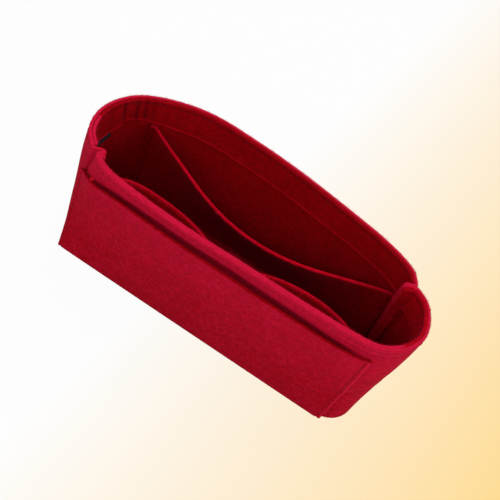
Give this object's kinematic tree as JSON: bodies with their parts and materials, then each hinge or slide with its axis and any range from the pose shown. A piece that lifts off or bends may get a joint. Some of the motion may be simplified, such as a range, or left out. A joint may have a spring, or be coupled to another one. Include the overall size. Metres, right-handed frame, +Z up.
{
  "type": "purse organizer insert",
  "caption": "Open felt tub that stands inside a purse, with two gathered inner pockets, a slip pocket outside and a stitched facing round the rim.",
  "frame": {"origin": "centre of the footprint's bounding box, on the surface that the tub stands on", "axes": "+X along the tub towards the end seen at the right of the picture, +Y from the front with the slip pocket to the back, +Z up out of the mouth"},
  "size_m": [0.2174, 0.0898, 0.09],
  "materials": {
    "outer_felt": "matte pressed felt",
    "lining_felt": "matte pressed felt",
    "woven_label": "matte woven tape"
  },
  "bodies": {
    "root": {"base_panel": "outer_felt", "front_wall": "outer_felt", "back_wall": "outer_felt", "front_rim_facing": "lining_felt", "back_rim_facing": "lining_felt", "outer_pocket": "outer_felt", "back_inner_pocket": "lining_felt", "front_inner_pocket": "lining_felt", "label_tab": "woven_label"}
  },
  "joints": []
}
